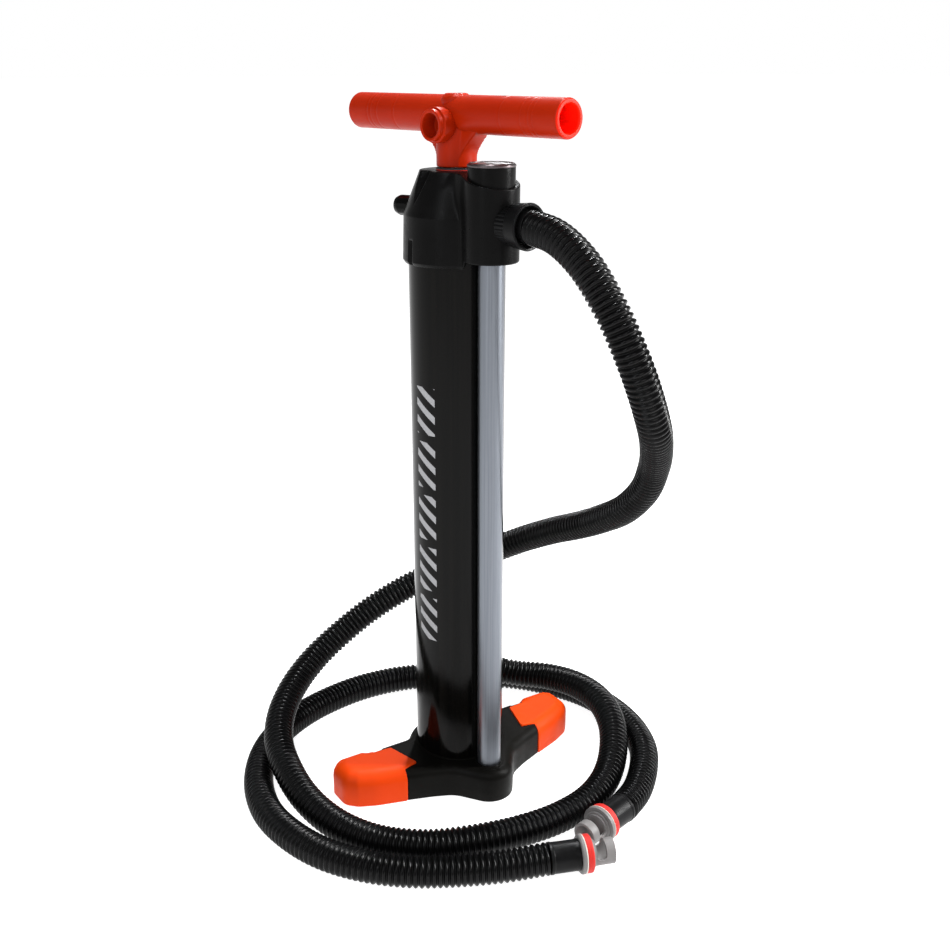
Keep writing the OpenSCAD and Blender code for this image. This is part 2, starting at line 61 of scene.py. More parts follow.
TUBE_X, TUBE_Y = middle("air_tube")[:2]
BARREL_R = (span("barrel")[1][0] - span("barrel")[0][0]) / 2
HEAD_LOW = span("head")[0][2]
HEAD_TOP = span("head")[1][2]
BASE_TOP = span("base")[1][2]
PAD_TOP = span("right_foot_pad")[1][2]
WING = span("right_foot_pad")[1][0]
GRIP_Z = HEAD_LOW + 117 * MM
TURN = radians(11)
PORT_TURN = radians(12)
PLUG_TURN = radians(120)
PORT_Z = HEAD_LOW + 37 * MM
PLUG_Z = HEAD_LOW + 43 * MM
POD_Y = -51.7  # in mm: line of the air tube, the pod and the base's lobe


# ------------------------------------------------------------------ camera

camera_data = bpy.data.cameras.new("camera")
camera = bpy.data.objects.new("camera", camera_data)
bpy.context.scene.collection.objects.link(camera)
camera.location = (-0.5104, -0.8288, 0.6390)
camera.rotation_euler = (radians(70.58), 0, radians(-32.50))
camera_data.lens = 44.10
camera_data.sensor_width = 36
bpy.context.scene.camera = camera


# ------------------------------------------------------------------ mesh helpers

def add_piece(name, points, faces, body, nodes=(), slot=None, material=None, smooth=True):
    """One mesh from points and faces, riding on a body and standing for CAD nodes."""
    mesh = bpy.data.meshes.new(name)
    mesh.from_pydata(np.asarray(points).reshape(-1, 3).tolist(), [], [list(map(int, f)) for f in faces])
    mesh.polygons.foreach_set("use_smooth", [smooth] * len(mesh.polygons))
    piece = bpy.data.objects.new(name, mesh)
    bpy.context.scene.collection.objects.link(piece)
    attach(piece, body)
    if nodes:
        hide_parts(*nodes)
    if material:
        mesh.materials.append(material)
    return piece


def quads(rows, columns, close_rows=False, close_columns=True, start=0):
    """Faces between neighbouring rows and columns of a grid of points."""
    i = np.arange(rows if close_rows else rows - 1)[:, None]
    j = np.arange(columns if close_columns else columns - 1)[None, :]
    a = i * columns + j
    b = i * columns + (j + 1) % columns
    c = ((i + 1) % rows) * columns + (j + 1) % columns
    d = ((i + 1) % rows) * columns + j
    return (np.stack([a, b, c, d], -1).reshape(-1, 4) + start)


def join(parts):
    """Puts several (points, faces) together as one."""
    points, faces, count = [], [], 0
    for p, f in parts:
        p = np.asarray(p, float).reshape(-1, 3)
        points.append(p)
        faces += [[int(k) + count for k in face] for face in f]
        count += len(p)
    return np.concatenate(points), faces


def skin(rings, cap_first=True, cap_last=True, flip=False):
    """Closed surface through rings of points (rows x columns x 3), with a fan over each end."""
    rings = np.asarray(rings, float)
    rows, columns = rings.shape[:2]
    points = rings.reshape(-1, 3)
    faces = [tuple(q) for q in quads(rows, columns)]
    around = np.arange(columns)
    extra = []
    if cap_first:
        hub = len(points) + len(extra)
        extra.append(rings[0].mean(0))
        faces += [((k + 1) % columns, k, hub) for k in around]
    if cap_last:
        hub = len(points) + len(extra)
        extra.append(rings[-1].mean(0))
        last = (rows - 1) * columns
        faces += [(last + k, last + (k + 1) % columns, hub) for k in around]
    if extra:
        points = np.concatenate([points, np.array(extra)])
    if flip:
        faces = [tuple(reversed(f)) for f in faces]
    return points, faces


def rounded_line(corners, radius, steps=6, closed=False):
    """A polyline whose corners are turned into arcs of the given radius (one number, or one per corner)."""
    corners = np.asarray(corners, float)
    count = len(corners)
    radii = np.broadcast_to(np.asarray(radius, float), (count,))
    out = []
    for k in range(count):
        if not closed and k in (0, count - 1):
            out.append(corners[k][None])
            continue
        here, before, after = corners[k], corners[k - 1], corners[(k + 1) % count]
        a, b = before - here, after - here
        la, lb = np.linalg.norm(a), np.linalg.norm(b)
        a, b = a / la, b / lb
        half = np.arccos(np.clip(a @ b, -1, 1)) / 2
        reach = min(radii[k] / max(np.tan(half), 1e-6), 0.49 * la, 0.49 * lb)
        if radii[k] <= 0 or half > pi / 2 - 0.02:
            out.append(here[None])
            continue
        r = reach * np.tan(half)
        centre = here + (a + b) / np.linalg.norm(a + b) * r / sin(half)
        start, end = here + a * reach - centre, here + b * reach - centre
        total = np.arccos(np.clip(start @ end / (r * r), -1, 1))
        t = np.linspace(0, 1, steps + 1)[:, None]
        out.append(centre + (np.sin((1 - t) * total) * start + np.sin(t * total) * end) / sin(total))
    return np.concatenate(out)


def frame_axes(direction):
    """Two unit vectors square to a direction."""
    d = np.asarray(direction, float) / np.linalg.norm(direction)
    side = np.cross(d, [0, 0, 1.0]) if abs(d[2]) < 0.95 else np.array([1.0, 0, 0])
    side = side / np.linalg.norm(side)
    return d, side, np.cross(side, d)


def turned(profile, origin, direction, columns=64, radius_change=None, caps=True):
    """Surface of revolution: each profile point is (distance along the axis, radius), both in metres.
    radius_change(along, angle) is added to the radius, for ribs and flats."""
    profile = np.asarray(profile, float)
    d, side, up = frame_axes(direction)
    angle = np.linspace(0, 2 * pi, columns, endpoint=False)[None, :]
    along = np.repeat(profile[:, :1], columns, 1)
    radius = np.repeat(profile[:, 1:], columns, 1)
    if radius_change is not None:
        radius = radius + radius_change(along, angle + 0 * along)
    rings = (np.asarray(origin, float) + along[..., None] * d
             + radius[..., None] * (np.cos(angle)[..., None] * side - np.sin(angle)[..., None] * up))
    return skin(rings, caps, caps, flip=True)


def densify(profile, step):
    """Adds points along a profile so that none are further apart than step."""
    profile = np.asarray(profile, float)
    out = [profile[:1]]
    for a, b in zip(profile[:-1], profile[1:]):
        n = max(1, int(np.ceil(np.linalg.norm(b - a) / step)))
        out.append(a + (b - a) * (np.arange(1, n + 1) / n)[:, None])
    return np.concatenate(out)


def spline(points, count):
    """Smooth curve through the points: each stretch is a cubic whose slopes come from its neighbours,
    resampled at even distances."""
    p = np.asarray(points, float)
    ext = np.concatenate([[2 * p[0] - p[1]], p, [2 * p[-1] - p[-2]]])
    gap = np.linalg.norm(np.diff(ext, axis=0), axis=1)
    slope = (np.diff(ext, axis=0)[1:] / gap[1:, None] * gap[:-1, None]
             + np.diff(ext, axis=0)[:-1] / gap[:-1, None] * gap[1:, None]) / (gap[1:] + gap[:-1])[:, None]
    seg = gap[1:-1]
    t = np.linspace(0, 1, 60, endpoint=False)
    a, b = p[:-1, None], p[1:, None]
    ma, mb = (slope[:-1] * seg[:, None])[:, None], (slope[1:] * seg[:, None])[:, None]
    s = t[None, :, None]
    dense = ((2 * s**3 - 3 * s**2 + 1) * a + (s**3 - 2 * s**2 + s) * ma
             + (3 * s**2 - 2 * s**3) * b + (s**3 - s**2) * mb).reshape(-1, 3)
    dense = np.concatenate([dense, p[-1:]])
    length = np.concatenate([[0], np.cumsum(np.linalg.norm(np.diff(dense, axis=0), axis=1))])
    even = np.linspace(0, length[-1], count)
    return np.stack([np.interp(even, length, dense[:, k]) for k in range(3)], 1), length[-1]


# ------------------------------------------------------------------ shader helpers

def rgb(red, green, blue):
    return (red, green, blue, 1.0)


class Wire:
    """A number socket that adds Math nodes when it is used in an expression."""

    def __init__(self, finish, socket):
        self.finish, self.socket = finish, socket

    def _math(self, operation, *values):
        node = self.finish.node("ShaderNodeMath", {"operation": operation})
        for k, value in enumerate(values):
            self.finish.feed(node.inputs[k], value)
        return Wire(self.finish, node.outputs[0])

    def __add__(self, other): return self._math("ADD", self, other)
    def __radd__(self, other): return self._math("ADD", other, self)
    def __sub__(self, other): return self._math("SUBTRACT", self, other)
    def __rsub__(self, other): return self._math("SUBTRACT", other, self)
    def __mul__(self, other): return self._math("MULTIPLY", self, other)
    def __rmul__(self, other): return self._math("MULTIPLY", other, self)
    def __truediv__(self, other): return self._math("DIVIDE", self, other)
    def above(self, other): return self._math("GREATER_THAN", self, other)
    def below(self, other): return self._math("LESS_THAN", self, other)
    def lowest(self, other): return self._math("MINIMUM", self, other)
    def highest(self, other): return self._math("MAXIMUM", self, other)
    def fraction(self): return self._math("FRACT", self)
    def size(self): return self._math("ABSOLUTE", self)
    def root(self): return self._math("SQRT", self)
    def turn_of(self, other): return self._math("ARCTAN2", self, other)

    def ramp(self, low, high, to_low=0.0, to_high=1.0):
        """Runs smoothly from to_low at low to to_high at high."""
        node = self.finish.node("ShaderNodeMapRange", {"interpolation_type": "SMOOTHSTEP"},
                                {"Value": self, "From Min": low, "From Max": high,
                                 "To Min": to_low, "To Max": to_high})
        return Wire(self.finish, node.outputs[0])


class Finish:
    """One material: a Principled shader and the nodes that feed it."""

    def __init__(self, name, **fixed):
        self.material = bpy.data.materials.new(name)
        self.material.use_nodes = True
        self.tree = self.material.node_tree
        self.shader = self.tree.nodes["Principled BSDF"]
        for key, value in fixed.items():
            self.shader.inputs[key.replace("_", " ").title().replace("Ior", "IOR")].default_value = value
        where = self.node("ShaderNodeTexCoord")
        self.place = where.outputs["Object"]
        split = self.node("ShaderNodeSeparateXYZ", {}, {"Vector": self.place})
        self.x, self.y, self.z = (Wire(self, split.outputs[k]) for k in range(3))

    def feed(self, socket, value):
        if isinstance(value, Wire):
            value = value.socket
        if isinstance(value, bpy.types.NodeSocket):
            self.tree.links.new(value, socket)
        else:
            socket.default_value = value

    def node(self, kind, settings=None, inputs=None):
        node = self.tree.nodes.new(kind)
        for key, value in (settings or {}).items():
            setattr(node, key, value)
        for key, value in (inputs or {}).items():
            self.feed(node.inputs[key], value)
        return node

    def stretched(self, scale, centre=(0, 0, 0), turn=(0, 0, 0)):
        """Object coordinates moved, turned and scaled by three factors."""
        return self.node("ShaderNodeMapping", {"vector_type": "TEXTURE"},
                         {"Vector": self.place, "Location": centre, "Rotation": turn,
                          "Scale": tuple(1 / s for s in scale)}).outputs[0]

    def noise(self, scale, detail=3.0, rough=0.5, vector=None, warp=0.0):
        node = self.node("ShaderNodeTexNoise", {"noise_dimensions": "3D"},
                         {"Vector": vector or self.place, "Scale": scale, "Detail": detail,
                          "Roughness": rough, "Distortion": warp})
        return Wire(self, node.outputs["Fac"])

    def cells(self, scale, vector=None, feature="F1"):
        node = self.node("ShaderNodeTexVoronoi", {"feature": feature},
                         {"Vector": vector or self.place, "Scale": scale})
        return Wire(self, node.outputs["Distance"])

    def mix(self, factor, first, second, blend="MIX"):
        """Colour mix; first and second are colours or colour sockets."""
        node = self.node("ShaderNodeMix", {"data_type": "RGBA", "blend_type": blend})
        self.feed(node.inputs[0], factor)
        self.feed(node.inputs[6], first)
        self.feed(node.inputs[7], second)
        return node.outputs[2]

    def attribute(self, name):
        return Wire(self, self.node("ShaderNodeAttribute", {"attribute_name": name}).outputs["Fac"])

    def colour(self, value):
        self.feed(self.shader.inputs["Base Color"], value)

    def rough(self, value):
        self.feed(self.shader.inputs["Roughness"], value)

    def bump(self, height, distance, strength=1.0):
        """height is 0 to 1 and distance is its real depth in metres."""
        node = self.node("ShaderNodeBump", {}, {"Strength": strength, "Distance": distance, "Height": height})
        self.tree.links.new(node.outputs[0], self.shader.inputs["Normal"])

    def grained(self, base, worn, rough, grain, depth, spread):
        """Moulded plastic: fine spark-eroded grain, a cloudy tone and a few faint rubs. Gives its colour."""
        cloud = self.noise(14, 4, 0.55)
        rub = self.noise(60, 6, 0.7, self.stretched((1, 1, 0.25), turn=(0.5, 0.3, 0.2))).ramp(0.6, 0.78)
        self.rough(self.noise(120, 3, 0.6).ramp(0.25, 0.75, rough - spread, rough + spread) - rub * 0.05)
        self.bump(self.cells(grain) * 0.6 + self.noise(grain * 0.4, 2) * 0.4, depth, 0.5)
        return self.mix(cloud.ramp(0.3, 0.75) * 0.55 + rub * 0.3, rgb(*base), rgb(*worn))


def moulded(name, base, worn, rough, grain=2400, depth=0.00006, spread=0.06, **fixed):
    f = Finish(name, **fixed)
    f.colour(f.grained(base, worn, rough, grain, depth, spread))
    return f.material


# ------------------------------------------------------------------ finishes

def gloss_barrel():
    """Gloss black barrel: faint drawing lines up the tube, fine dust, and a column of slanted
    pale bars on one side as plain decoration."""
    f = Finish("gloss_black_barrel", specular_ior_level=0.10)
    lines = f.noise(260, 3, 0.6, f.stretched((1, 1, 0.012)))
    dust = f.noise(900, 2, 0.6).ramp(0.66, 0.8)
    angle = f.y.turn_of(f.x) * (180 / pi)
    turned_by = (angle + 360 * angle.above(0) * -1) + 165
    inside = turned_by.size().below(14.5) * f.z.above(0.143) * f.z.below(0.384)
    slant = ((f.z * 1000 + turned_by * 0.5) / 15.0).fraction()
    edge = slant.ramp(0.44, 0.47, 1.0, 0.0) * slant.ramp(0.01, 0.04)
    group = ((f.z - 0.143) / 0.0482).fraction().above(0.14)
    print_mask = inside * edge * group * f.noise(700, 3, 0.7).ramp(0.18, 0.34)
    black = f.mix(lines.ramp(0.3, 0.7) * 0.5 + dust * 0.35,
                  rgb(0.0012, 0.0012, 0.0011), rgb(0.005, 0.0042, 0.0034))
    f.colour(f.mix(print_mask, black, rgb(0.33, 0.33, 0.34)))
    f.rough(lines.ramp(0.2, 0.8, 0.10, 0.18) + dust * 0.25 + print_mask * 0.22)
    f.bump(lines, 0.00002, 0.35)
    return f.material


def satin_aluminium():
    """Satin anodised tube: long drawing lines along its length, small handling marks."""
    f = Finish("satin_aluminium", metallic=1.0)
    lines = f.noise(900, 4, 0.65, f.stretched((1, 1, 0.01)))
    marks = f.noise(300, 4, 0.7, f.stretched((1, 1, 0.2))).ramp(0.64, 0.74)
    f.colour(f.mix(lines.ramp(0.3, 0.7), rgb(0.150, 0.162, 0.184), rgb(0.190, 0.204, 0.228)))
    f.rough(lines.ramp(0.2, 0.8, 0.32, 0.42) + marks * 0.12)
    f.bump(lines * 0.8 + marks * 0.2, 0.00001, 0.4)
    return f.material


def hose_plastic():
    """Blown corrugated hose: glossy crests, duller grooves that hold dust."""
    f = Finish("ribbed_black_hose", specular_ior_level=0.12)
    crest = f.attribute("crest")
    cloud = f.noise(30, 4, 0.6)
    dust = f.noise(800, 3, 0.65).ramp(0.5, 0.75) * (1 - crest)
    f.colour(f.mix(dust * 0.3 + cloud * 0.12, rgb(0.0014, 0.0014, 0.0015), rgb(0.008, 0.0075, 0.008)))
    f.rough(f.noise(220, 3).ramp(0.3, 0.7, 0.15, 0.19) + (1 - crest) * 0.25)
    f.bump(f.noise(1500, 3, 0.6), 0.00001, 0.25)
    return f.material


def brushed(name, base, bright, rough, scale, turn=(0, 0, 0), **fixed):
    """Machined or plated metal with fine lines and small spots of tarnish."""
    f = Finish(name, metallic=1.0, **fixed)
    lines = f.noise(1600, 3, 0.6, f.stretched(scale, turn=turn))
    spots = f.noise(220, 4, 0.65).ramp(0.58, 0.72)
    f.colour(f.mix(lines.ramp(0.3, 0.7) * 0.7 - spots * 0.3, rgb(*base), rgb(*bright)))
    f.rough(lines.ramp(0.2, 0.8, rough - 0.06, rough + 0.06) + spots * 0.1)
    f.bump(lines, 0.00002, 0.4)
    return f.material


def dial_print(centre):
    """Gauge dial: dark ground, a ring of pale tick marks and an arc that ends in red."""
    f = Finish("gauge_dial_print", roughness=0.5)
    px, py = f.x - float(centre[0]), f.y - float(centre[1])
    radius = (px * px + py * py).root() * 1000
    angle = py.turn_of(px) * (180 / pi) + 180
    sweep = angle.above(45) * (1 - angle.above(315))
    fine = (angle / 5.4).fraction()
    coarse = (angle / 27).fraction()
    ticks = fine.below(0.16) * radius.above(12.8) + coarse.below(0.06) * radius.above(11)
    ticks = ticks.lowest(1.0) * radius.below(14.6)
    arc = radius.above(9.2) * radius.below(10.2)
    paper = f.mix(f.noise(300, 3).ramp(0.3, 0.7), rgb(0.080, 0.068, 0.069), rgb(0.060, 0.050, 0.051))
    with_arc = f.mix(arc * sweep, paper, f.mix(angle.above(240), rgb(0.04, 0.16, 0.06), rgb(0.40, 0.03, 0.02)))
    f.colour(f.mix(ticks * sweep, with_arc, rgb(0.42, 0.40, 0.40)))
    f.rough(f.noise(800, 2).ramp(0.3, 0.7, 0.42, 0.56))
    f.bump(f.noise(1200, 2), 0.00002, 0.4)
    return f.material


def handle_plastic():
    """Red moulding: fine grain and a cloudy tone, with painted light: a lighter, more saturated colour is
    painted on the walls of the open bores for light coming through the plastic, and a little of it is painted
    on the grip's end faces."""
    f = Finish("red_handle_moulding", specular_ior_level=0.07)
    px, py, pz = f.x, f.y, f.z - float(GRIP_Z)
    along = px * sin(TURN) - py * cos(TURN)
    off = (px * px + py * py + pz * pz - along * along).root()
    # painted light: mask of the bore walls, which get a bright glow colour for light coming through the
    # plastic
    bore = off.ramp(0.0114, 0.0121, 1.0, 0.0) * along.size().ramp(0.016, 0.024)
    # painted light: a weaker painted glow on the grip's end faces
    ends = along.size().ramp(0.1206, 0.1214) * 0.55
    outside = f.grained((0.33, 0.0130, 0.0010), (0.40, 0.0190, 0.0018), 0.35, 1900, 0.00004, 0.05)
    # the painted glow colour is mixed over the moulding's own colour on the bores and end faces
    f.colour(f.mix(bore.highest(ends), outside, rgb(0.95, 0.012, 0.002)))
    return f.material


def clear_lens():
    """Polycarbonate lens with faint wipe marks and a warm tint."""
    f = Finish("gauge_lens_clear", transmission_weight=0.55, ior=1.35, specular_ior_level=0.05)
    wipes = f.noise(500, 4, 0.7, f.stretched((1, 0.1, 1), turn=(0, 0, 0.6))).ramp(0.5, 0.7)
    f.colour(f.mix(wipes, rgb(0.045, 0.036, 0.037), rgb(0.032, 0.026, 0.027)))
    f.rough(wipes * 0.12 + 0.3)
    f.bump(wipes, 0.00001, 0.3)
    return f.material


MATT_BLACK = moulded("matt_black_moulding", (0.0030, 0.0028, 0.0023), (0.0075, 0.0070, 0.0060), 0.44, 2600,
                     specular_ior_level=0.06)
HEAD_BLACK = moulded("satin_black_moulding", (0.0026, 0.0025, 0.0025), (0.006, 0.006, 0.006), 0.32, 3200,
                     0.00004, specular_ior_level=0.055)
GLOSS_BLACK = moulded("gloss_black_knob", (0.0015, 0.0015, 0.0015), (0.004, 0.004, 0.004), 0.17, 3000,
                      0.00001, 0.03, specular_ior_level=0.10)
NUT_BLACK = moulded("nut_black_moulding", (0.0028, 0.0028, 0.0028), (0.008, 0.008, 0.009), 0.34, 2600, 0.00003,
                    specular_ior_level=0.08)
PAD_ORANGE = moulded("orange_foot_pad", (0.68, 0.046, 0.0012), (0.74, 0.060, 0.002), 0.5, 2200, 0.00005,
                     0.05, specular_ior_level=0.09)
HANDLE_RED = handle_plastic()
SEAL_RED = moulded("red_seal_rubber", (0.48, 0.014, 0.010), (0.62, 0.030, 0.022), 0.50, 1800, 0.00008,
                   specular_ior_level=0.25)
SEAL_BLACK = moulded("black_seal_rubber", (0.008, 0.008, 0.008), (0.018, 0.018, 0.018), 0.50, 2500, 0.00004)
VALVE_RUBBER = moulded("valve_rubber", (0.36, 0.05, 0.03), (0.44, 0.09, 0.05), 0.48, 2000)
FITTING_GREY = moulded("grey_bayonet_plastic", (0.150, 0.143, 0.141), (0.21, 0.20, 0.196), 0.42, 2000, 0.00005,
                       specular_ior_level=0.3)
STRIPE_CREAM = moulded("cream_washer", (0.55, 0.53, 0.47), (0.64, 0.62, 0.56), 0.45, 1800)
CUFF_BLACK = moulded("black_cuff_rubber", (0.003, 0.003, 0.003), (0.009, 0.009, 0.010), 0.34, 2500, 0.00004,
                     specular_ior_level=0.09)
CREAM = moulded("natural_nylon", (0.72, 0.68, 0.56), (0.78, 0.75, 0.65), 0.42, 1600)
BARREL = gloss_barrel()
ALUMINIUM = satin_aluminium()
HOSE = hose_plastic()
ROD = brushed("polished_rod", (0.62, 0.64, 0.67), (0.80, 0.82, 0.85), 0.20, (1, 1, 0.02))
SCREW = brushed("zinc_screws", (0.42, 0.42, 0.43), (0.62, 0.62, 0.63), 0.34, (1, 1, 1))
BRASS = brushed("gauge_brass", (0.60, 0.42, 0.14), (0.74, 0.56, 0.24), 0.3, (1, 0.1, 1))
BEZEL = brushed("rose_silver_bezel", (0.085, 0.070, 0.072), (0.15, 0.125, 0.13), 0.38, (1, 0.1, 1))
NEEDLE = moulded("needle_red_paint", (0.5, 0.02, 0.015), (0.6, 0.04, 0.03), 0.35, 3000, 0.00001)
DIAL = dial_print(middle("gauge_dial"))
LENS = clear_lens()

KEPT = {
    "barrel": BARREL, "air_tube": ALUMINIUM, "base_plate": MATT_BLACK, "base_gasket": SEAL_BLACK,
    "plate_screws": SCREW, "pad_screws": SCREW, "rubber_feet": SEAL_BLACK, "barrel_seals": SEAL_BLACK,
    "tube_seals": SEAL_BLACK, "rod_bush": SEAL_RED, "rod_seal": SEAL_BLACK, "upper_intake_valve": VALVE_RUBBER,
    "lower_intake_valve": VALVE_RUBBER, "barrel_outlet_disc": VALVE_RUBBER, "tube_outlet_disc": VALVE_RUBBER,
    "outlet_cage": HEAD_BLACK, "gauge_movement": BRASS, "gauge_dial": DIAL, "gauge_needle": NEEDLE,
    "mode_plug_seal": SEAL_BLACK, "port_spigot": NUT_BLACK, "port_seal": SEAL_BLACK, "piston_rod": ROD,
    "piston_head": CREAM, "piston_seal": SEAL_BLACK, "guide_ring": CREAM, "piston_nut": SCREW,
    "handle_bolt": SCREW, "handle_cap": HANDLE_RED,
}
for node, finish in KEPT.items():
    NODES[node].data.materials.clear()
    NODES[node].data.materials.append(finish)


# ------------------------------------------------------------------ hoses

MAIN_ROUTE = np.array([
    [9, -95, 522], [12, -120, 518], [16, -148, 503], [22, -174, 474], [36, -190, 431],
    [61, -185, 381], [87, -161, 349], [106, -138, 324], [118, -115, 295], [124, -84, 266],
    [129, -45, 242], [131, -7, 222], [128, 31, 204], [116, 66, 185], [93, 96, 165],
    [59, 118, 147], [22, 133, 131], [-16, 141, 113], [-53, 143, 93], [-89, 137, 74],
    [-119, 121, 59], [-143, 96, 47], [-157, 68, 39], [-164, 34, 33], [-164, -2, 24],
    [-155, -40, 17], [-136, -78, 15], [-104, -110, 16], [-65, -130, 18], [-23, -139, 17],
    [18, -140, 16], [57, -132, 16], [89, -115, 18], [114, -93, 24], [135, -64, 32],
    [147, -28, 37], [146, 9, 37], [134, 43, 34], [113, 69, 32], [103, 79, 33]]) * MM
MAIN_END_AIM = np.array([-0.72, 0.66, 0.14])
RING_ROUTE = np.array([
    [72, -160, 17], [98, -146, 15], [126, -123, 14], [150, -95, 14], [165, -61, 14],
    [171, -23, 14], [168, 15, 14], [155, 48, 14], [136, 78, 14], [110, 104, 14],
    [80, 126, 14], [48, 142, 14], [13, 154, 14], [-24, 158, 14], [-60, 154, 14],
    [-95, 144, 14], [-129, 126, 14], [-156, 102, 14], [-176, 73, 14], [-190, 39, 14],
    [-196, 3, 14], [-192, -34, 14], [-180, -70, 14], [-160, -101, 14], [-131, -129, 14],
    [-97, -150, 14], [-61, -168, 15], [-26, -182, 17]]) * MM
REAR_END_AIM = np.array([-0.97, -0.24, 0])
FRONT_END_AIM = np.array([0.937, -0.349, 0])
HOSE_D = 27 * MM
PITCH = 4.9 * MM
RIB_DEPTH = 2.5 * MM
ROWS_PER_RIB = 8


def ribbed_hose(name, route, node):
    """Corrugated hose: a circle carried along the smooth route. Its radius is the outer radius less a depth
    times (1 - w), where w is the size of a sine of distance over pitch, to the power 0.9, so that crests
    are round and grooves a little narrower. The crest attribute holds w."""
    _, length = spline(route, 10)
    ribs = round(length / PITCH)
    rows, columns = ribs * ROWS_PER_RIB + 1, 30
    path, length = spline(route, rows)
    ahead = np.gradient(path, axis=0)
    ahead /= np.linalg.norm(ahead, axis=1)[:, None]
    side = np.cross(ahead, [0, 0, 1.0])
    side /= np.linalg.norm(side, axis=1)[:, None]
    up = np.cross(side, ahead)
    wave = np.abs(np.sin(pi * np.arange(rows) / ROWS_PER_RIB)) ** 0.9
    radius = HOSE_D / 2 + 0.1 * MM - RIB_DEPTH * (1 - wave)
    angle = np.linspace(0, 2 * pi, columns, endpoint=False)
    rings = (path[:, None] + radius[:, None, None] * (np.cos(angle)[None, :, None] * side[:, None]
             + np.sin(angle)[None, :, None] * up[:, None]))
    points, faces = skin(rings, flip=True)
    piece = add_piece(name, points, faces, "pump_body", [node], "hose_black", HOSE)
    crest = piece.data.attributes.new("crest", "FLOAT", "POINT")
    values = np.concatenate([np.repeat(wave, columns), [1.0, 1.0]])
    crest.data.foreach_set("value", values)
    return piece, path, length


def cuff(name, start, way, node):
    """Smooth rubber cuff with a low step beside the hose and a rounded lip."""
    line = rounded_line([[0, 9], [0, 13.3], [2.4, 13.4], [3.2, 12.9], [22, 12.9], [25.5, 13.3],
                         [25.95, 12.4], [25.95, 9]], [0, .6, .4, .8, 6, .5, .2, 0], 5)
    return add_piece(name, *turned(line * MM, start, way, 56), "pump_body", [node], "hose_black", CUFF_BLACK)


def seal(name, start, way, node):
    """Thick rubber ring with rounded shoulders and a fine moulded line round its middle."""
    line = rounded_line([[0.05, 10.7], [0.05, 15.9], [2.8, 15.95], [3.0, 15.75], [3.2, 15.95],
                         [5.95, 15.9], [5.95, 10.7]], [0, 1.0, .1, .1, .1, 1.0, 0], 6)
    return add_piece(name, *turned(line * MM, start, way, 64), "pump_body", [node], "seal_red", SEAL_RED)


def washer(name, start, way, width):
    """Thin ring with rounded edges that shows as a stripe beside the seal."""
    line = rounded_line([[0, 11], [0, 16.4], [width, 16.4], [width, 11]], 0.35, 4)
    return add_piece(name, *turned(line * MM, start, way, 64), "pump_body", (), "fitting_grey", STRIPE_CREAM)


def fitting(name, start, way, node, flange_at):
    """Bayonet fitting: a flange and a tube with a slot through its wall. The tube is two grids of angle by
    distance, outer and inner. Cells inside the slot (a strip with round ends, over the top from one side
    to the other) are left out, vertices beside it are moved onto its outline, and walls join the two
    grids along every open edge."""
    d, side, up = frame_axes(way)
    columns, rows = 132, 60
    angle = np.linspace(0, 2 * pi, columns, endpoint=False)
    along = np.linspace(27.0, 55.6, rows)
    reach, half, at = radians(98) * 10.8, 4.2, 43.5
    around = (angle - radians(92) + pi) % (2 * pi) - pi
    u = np.repeat((around * 10.8)[None, :], rows, 0)
    v = np.repeat(along[:, None] - at, columns, 1)
    past = np.sign(u) * np.maximum(np.abs(u) - (reach - half), 0)
    out = np.hypot(past, v)
    gap = out - half
    near = np.abs(gap) < 0.30
    along_grid = np.repeat(along[:, None], columns, 1)
    angle_grid = np.repeat(angle[None, :], rows, 0)
    along_grid = along_grid - np.where(near, gap * v / np.maximum(out, 1e-6), 0)
    angle_grid = angle_grid - np.where(near, gap * past / np.maximum(out, 1e-6) / 10.8, 0)
    shells = []
    for radius in (10.9, 8.7):
        shells.append(np.asarray(start) + along_grid[..., None] * MM * d + radius * MM
                      * (np.cos(angle_grid)[..., None] * side + np.sin(angle_grid)[..., None] * up))
    cell = quads(rows, columns)
    flat_gap = gap.reshape(-1)
    kept = cell[flat_gap[cell].mean(1) > 0]
    edges = np.concatenate([kept[:, [0, 1]], kept[:, [1, 2]], kept[:, [2, 3]], kept[:, [3, 0]]])
    key = np.sort(edges, 1) @ np.array([rows * columns, 1])
    _, first, times = np.unique(key, return_index=True, return_counts=True)
    rim = edges[first[times == 1]]
    shift = rows * columns
    walls = np.stack([rim[:, 0], rim[:, 0] + shift, rim[:, 1] + shift, rim[:, 1]], 1)
    inner = kept[:, ::-1] + shift
    tube = (np.concatenate(shells).reshape(-1, 3), [tuple(f) for f in np.concatenate([kept, inner, walls])])
    line = rounded_line([[flange_at, 10], [flange_at, 15.3], [flange_at + 1.0, 16.3], [flange_at + 3.95, 16.3],
                         [flange_at + 3.95, 10]], [0, .6, .8, .5, 0], 5)
    flange = turned(line * MM, start, way, 72)
    hub = turned(rounded_line([[36.05, 10], [36.05, 13.0], [37.6, 12.6], [38.2, 10]], [0, .4, .6, 0], 4) * MM,
                 start, way, 64)
    piece = add_piece(name, *join([tube, flange, hub]), "pump_body", [node], "fitting_grey", FITTING_GREY)
    bevel = piece.modifiers.new("edge", "BEVEL")
    bevel.width, bevel.segments, bevel.limit_method, bevel.angle_limit = 0.35 * MM, 2, "ANGLE", radians(50)
    return piece


def hose_end(end, start, aim, flange_at, seal_at, stripe_at, stripe_width):
    """Cuff, fitting, seal and stripe past a hose's end, at their distances in mm along the fitting."""
    way = aim / np.linalg.norm(aim)
    return [cuff(end + "_cuff_part", start, way, end + "_cuff"),
            fitting(end + "_bayonet", start, way, end + "_fitting", flange_at),
            seal(end + "_seal_part", start + way * seal_at * MM, way, end + "_seal"),
            washer(end + "_stripe", start + way * stripe_at * MM, way, stripe_width)]


main_hose, main_path, main_length = ribbed_hose("main_hose_tube", MAIN_ROUTE, "main_hose")
ring_hose, ring_path, ring_length = ribbed_hose("extension_hose_tube", RING_ROUTE, "extension_hose")

